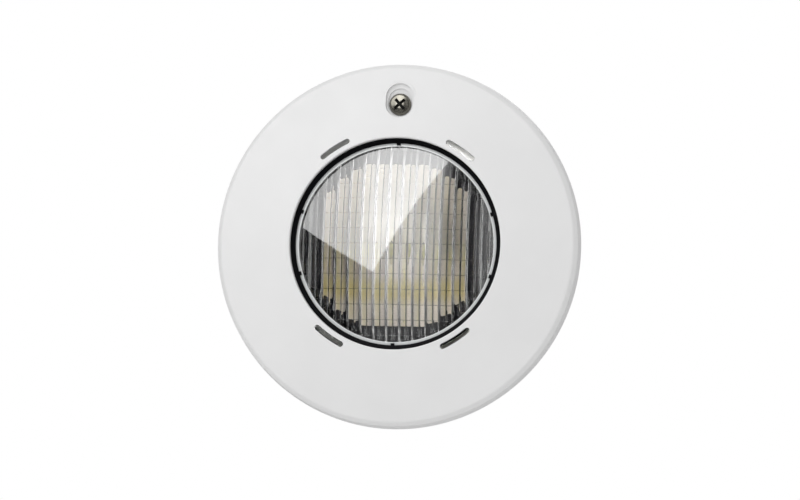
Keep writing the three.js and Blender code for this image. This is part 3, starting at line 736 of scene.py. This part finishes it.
def pilot_screw():
    top, head_seat, tip = -21.0, -16.3, -0.9
    head, shank = 9, 3
    recess_length, recess_width, recess_depth = 11, 2.4, 2.8
    corners = [
        (0, top - 0.2, 0),
        (3.5, top, 3.0),
        (7.6, top + 1.2, 2.0),
        (head, top + 3.2, 1.2),
        (head, head_seat, 0.4),
        (shank, head_seat, 0),
        (shank, tip - 1, 0),
        (2.2, tip, 0),
        (0, tip, 0),
    ]
    recess = cross_recess(recess_length, recess_width, top, recess_depth, -42)
    mesh = moved(bevelled(cut(turned(corners, MEDIUM), recess), 0.2), z=PILOT_Z)
    smooth(mesh)
    # The head takes a darker steel than the other screws: painted shade.
    screw = new_object("pilot_screw_steel", mesh, SHADED_PILOT_STEEL, "pilot_screw", ["pilot_screw"])
    # The cross recess's walls and floor take the second, near-black material: painted shade in the recess.
    mesh.materials.append(RECESS_PAINTED_SHADE)
    for face in mesh.polygons:
        x, y, z = face.center / MM
        wall = abs(face.normal.y) < 0.3
        floor = y > top + recess_depth - 0.3
        near_axis = math.hypot(x, z - PILOT_Z) < 6 and y < top + recess_depth + 0.1
        face.material_index = 1 if near_axis and (wall or floor) else 0
    weighted(screw)


def small_screws():
    """Ring screws come in from behind and clamp screws from the front, each at an angle of its own."""
    for k, place in enumerate(on_circle(RING_SCREW_CIRCLE, RING_SCREW_ANGLES)):
        pan_screw(f"ring_screw_{k + 1}", place, -5.9, -22.6, 3.8, 20 + 31 * k, LIGHT)
    for k, place in enumerate(on_circle(CLAMP_SCREW_CIRCLE, CLAMP_SCREW_ANGLES)):
        pan_screw(f"clamp_screw_{k + 1}", place, -13.5, -1.5, 4, 30 + 25 * k, NICHE)


# ---------------------------------------------------------------- niche and housing


TUBE_FRONT, TUBE_BACK = -7, 112
TUBE_REAR_RADIUS = 97
FLANGE_RADIUS = 128
FLANGE_BORE = 103.3
STOP_FRONT, STOP_BACK, STOP_BORE, STOP_RADIUS = 50, 54, 100.4, 109
CONDUIT_Z, CONDUIT_HOLE = 62, 10.6


def niche():
    """The niche is a tube with a flange in front, a cap behind and a water stop round it."""
    material = MATERIALS["niche_plastic"]

    def moulding(name, mesh, node):
        smooth(mesh, 40)
        weighted(new_object(name, mesh, material, NICHE, [node]))

    tube_corners = [
        (100, TUBE_FRONT, 0.6),
        (103, TUBE_FRONT, 0.6),
        (TUBE_REAR_RADIUS, TUBE_BACK, 0.6),
        (94, TUBE_BACK, 0.6),
    ]
    moulding("niche_tube_moulding", turned(tube_corners), "niche_tube")
    stop_corners = [
        (STOP_BORE, STOP_FRONT, 0.4),
        (STOP_RADIUS, STOP_FRONT, 1.2),
        (STOP_RADIUS, STOP_BACK, 1.2),
        (STOP_BORE, STOP_BACK, 0.4),
    ]
    moulding("water_stop_moulding", turned(stop_corners), "water_stop_ring")
    flange_corners = [
        (FLANGE_BORE, TUBE_FRONT, 0.5),
        (FLANGE_RADIUS, TUBE_FRONT, 1.0),
        (FLANGE_RADIUS, 0, 0.8),
        (FLANGE_BORE, 0, 0.5),
    ]
    insert_bore = joined(bar(7.5, -8, -5.2, z=PILOT_Z), bar(5.3, -6, 1, z=PILOT_Z))
    moulding("niche_flange_moulding", bevelled(cut(turned(flange_corners), insert_bore), 0.4), "niche_flange")
    cap_front, cap_back = 112.3, 116.3
    cap_corners = [
        (0, cap_front, 0),
        (TUBE_REAR_RADIUS, cap_front, 0.4),
        (TUBE_REAR_RADIUS, cap_back, 1.8),
        (0, cap_back, 0),
    ]
    conduit_hole = bar(CONDUIT_HOLE, cap_front - 1.3, cap_back + 1.7, z=CONDUIT_Z)
    moulding("niche_end_cap_moulding", bevelled(cut(turned(cap_corners), conduit_hole), 0.4), "niche_end_cap")


def clamp_flange():
    bore, front, back = 96.5, -13.2, -9.2
    corners = [
        (bore, back, 0.4),
        (bore, front, 0.8),
        (FLANGE_RADIUS, front, 1.4),
        (FLANGE_RADIUS, back, 0.4),
    ]
    passage = bar(9, -15, -7, z=PILOT_Z)
    screw_holes = [bar(2.3, -15, -7, x, z) for x, z in on_circle(CLAMP_SCREW_CIRCLE, CLAMP_SCREW_ANGLES)]
    ring = bevelled(cut(turned(corners), passage, *screw_holes), 0.35)
    smooth(ring)
    white = MATERIALS["white_plastic"]
    weighted(new_object("clamp_flange_moulding", ring, white, NICHE, ["clamp_flange"]))


def housing_rim():
    front, seat, back = -12, -9.7, -6.2
    hoop_bore, seat_bore = 88.3, 77
    corners = [
        (hoop_bore, front, 0.3),
        (RING_RADIUS, front, 0.3),
        (RING_RADIUS, back, 0.4),
        (seat_bore, back, 0.4),
        (seat_bore, seat, 0.3),
        (hoop_bore, seat, 0),
    ]
    places = on_circle(RING_SCREW_CIRCLE, RING_SCREW_ANGLES)
    lugs = [bar(LUG_RADIUS, front, back, x, z, fillet=0.3) for x, z in places]
    keep_clear = bar(hoop_bore, front - 1, seat, sides=FINE)
    holes = [bar(2.3, front - 2, -5, x, z) for x, z in places]
    rim = bevelled(cut(joined(turned(corners), *lugs), keep_clear, *holes), 0.3)
    smooth(rim)
    black = MATERIALS["black_plastic"]
    weighted(new_object("housing_rim_moulding", rim, black, LIGHT, ["housing_rim"]))


def lamp_housing():
    """The pot behind the lens, with a boss at its back for the cable gland."""
    front, boss_back = -5.9, 65
    corners = [
        (75, front, 0.3),
        (79.5, front, 0.5),
        (79.5, 36, 4),
        (48, 61, 5),
        (17, 61, 0.8),
        (17, boss_back, 0.5),
        (8.6, boss_back, 0.4),
        (8.6, 58, 0.3),
        (46, 58, 4),
        (75, 34.5, 3),
    ]
    pot = turned(corners)
    smooth(pot)
    black = MATERIALS["black_plastic"]
    weighted(new_object("lamp_housing_moulding", pot, black, LIGHT, ["lamp_housing"]))


# ---------------------------------------------------------------- studio

LARGE = (1.6, 1.6)  # metres
BACKDROP, FILL = 1.0, 0.62  # brightness seen by the camera and by diffuse surfaces


def studio():
    scene = bpy.context.scene
    scene.view_settings.view_transform = "Standard"
    scene.world = studio_world()
    half, top, thickness = 1400, -550, 10
    floor = bpy.data.objects.new("floor", box_mesh((-half, -half, top - thickness), (half, half, top)))
    scene.collection.objects.link(floor)
    floor.data.materials.append(shader("floor_paint", (0.9, 0.9, 0.9), 0.6))
    floor.visible_glossy = False
    lamps()


def lamps():
    """Two soft lights, a small lamp in the niche, and a softbox that only shows as a reflection."""
    softbox("key", (-28, 24), 1.6, LARGE, 7.0, glossy=False)
    softbox("fill", (38, -12), 1.8, LARGE, 3.0, glossy=False)
    softbox("behind_upper_slots", (180, 0), 0.1, (0.06, 0.01), 0.1, (0, 0.083), glossy=False)
    softbox("reflected_softbox", (-33, 4), 1.0, LARGE, 21.0, (-0.007, 0.91), 60.6, diffuse=False)


def studio_world():
    """A white backdrop behind the object. Gloss and glass see a room that is bright above and dark below."""
    world = bpy.data.worlds.new("studio")
    world.use_nodes = True
    nodes, links = world.node_tree.nodes, world.node_tree.links
    backdrop = nodes.new("ShaderNodeBackground")
    backdrop.inputs["Strength"].default_value = BACKDROP
    backdrop.inputs["Color"].default_value = (1, 1, 1, 1)
    fill = nodes["Background"]
    fill.inputs["Color"].default_value = (1, 1, 1, 1)
    fill.inputs["Strength"].default_value = FILL
    room = nodes.new("ShaderNodeBackground")
    room.inputs["Color"].default_value = (1, 1, 1, 1)
    place = nodes.new("ShaderNodeTexCoord")
    split = nodes.new("ShaderNodeSeparateXYZ")
    links.new(place.outputs["Generated"], split.inputs["Vector"])

    def ramp(axis, stops):
        """Brightness along one axis of the direction, which runs from -1 to 1."""
        span = nodes.new("ShaderNodeMapRange")
        span.inputs["From Min"].default_value = -1
        links.new(split.outputs[axis], span.inputs["Value"])
        curve = colour_ramp(nodes, [((position + 1) / 2, (level, level, level)) for position, level in stops])
        links.new(span.outputs["Result"], curve.inputs["Fac"])
        return curve.outputs["Color"]

    height = ramp("Z", [(-0.6, 0.05), (-0.25, 0.5), (0.1, 1.4), (0.7, 1.5)])
    across = ramp("X", [(-0.4, 0), (-0.3, 1), (0.1, 1.25), (0.2, 0.05), (0.35, 0.05), (0.45, 0.6), (0.7, 0)])
    product = nodes.new("ShaderNodeMath")
    product.operation = "MULTIPLY"
    links.new(height, product.inputs[0])
    links.new(across, product.inputs[1])
    links.new(product.outputs["Value"], room.inputs["Strength"])
    path = nodes.new("ShaderNodeLightPath")
    soft = nodes.new("ShaderNodeMixShader")
    links.new(path.outputs["Is Diffuse Ray"], soft.inputs["Fac"])
    links.new(room.outputs["Background"], soft.inputs[1])
    links.new(fill.outputs["Background"], soft.inputs[2])
    mix = nodes.new("ShaderNodeMixShader")
    links.new(path.outputs["Is Camera Ray"], mix.inputs["Fac"])
    links.new(soft.outputs["Shader"], mix.inputs[1])
    links.new(backdrop.outputs["Background"], mix.inputs[2])
    links.new(mix.outputs["Shader"], nodes["World Output"].inputs["Surface"])
    return world


def softbox(name, facing, distance, size, power, offset=(0, 0), roll=0.0, diffuse=True, glossy=True):
    """A rectangular light that shines back along a direction of (azimuth, elevation) degrees, moved sideways
    and up by the offset, in metres and watts."""
    lamp = bpy.data.lights.new(name, "AREA")
    lamp.shape = "RECTANGLE"
    lamp.size, lamp.size_y = size
    lamp.energy = power
    item = bpy.data.objects.new(name, lamp)
    bpy.context.scene.collection.objects.link(item)
    away = direction(*facing)
    turn = away.to_track_quat("Z", "Y")
    item.location = away * distance + turn @ Vector((*offset, 0))
    item.rotation_mode = "QUATERNION"
    item.rotation_quaternion = turn @ Matrix.Rotation(math.radians(roll), 3, "Z").to_quaternion()
    item.visible_diffuse = diffuse
    item.visible_glossy = glossy
    item.visible_transmission = False
    item.visible_camera = False
    return item


def direction(azimuth, elevation):
    """The unit vector towards an azimuth and elevation in degrees. Azimuth 0 is straight in front."""
    a, e = math.radians(azimuth), math.radians(elevation)
    return Vector((math.sin(a) * math.cos(e), -math.cos(a) * math.cos(e), math.sin(e)))


CAMERA_AZIMUTH = 8.5
CAMERA_ELEVATION = -5.8
CAMERA_DISTANCE = 2.72
CAMERA_ROLL = 1.8
LENS = 150.0
AIM = (0.0025, -0.01, -0.004)  # what the middle of the picture looks at


def camera():
    data = bpy.data.cameras.new("camera")
    data.lens = LENS
    item = bpy.data.objects.new("camera", data)
    bpy.context.scene.collection.objects.link(item)
    bpy.context.scene.camera = item
    back = direction(CAMERA_AZIMUTH, CAMERA_ELEVATION)
    item.location = Vector(AIM) + back * CAMERA_DISTANCE
    item.rotation_mode = "QUATERNION"
    facing = (-back).to_track_quat("-Z", "Y")
    item.rotation_quaternion = facing @ Matrix.Rotation(math.radians(CAMERA_ROLL), 3, "Z").to_quaternion()


finish_cad_nodes()
face_plate()
lens_pieces()
lens_ring()
mask()
reflector()
capsule()
filament()
capsule_base()
pilot_screw()
small_screws()
niche()
clamp_flange()
housing_rim()
lamp_housing()
studio()
camera()
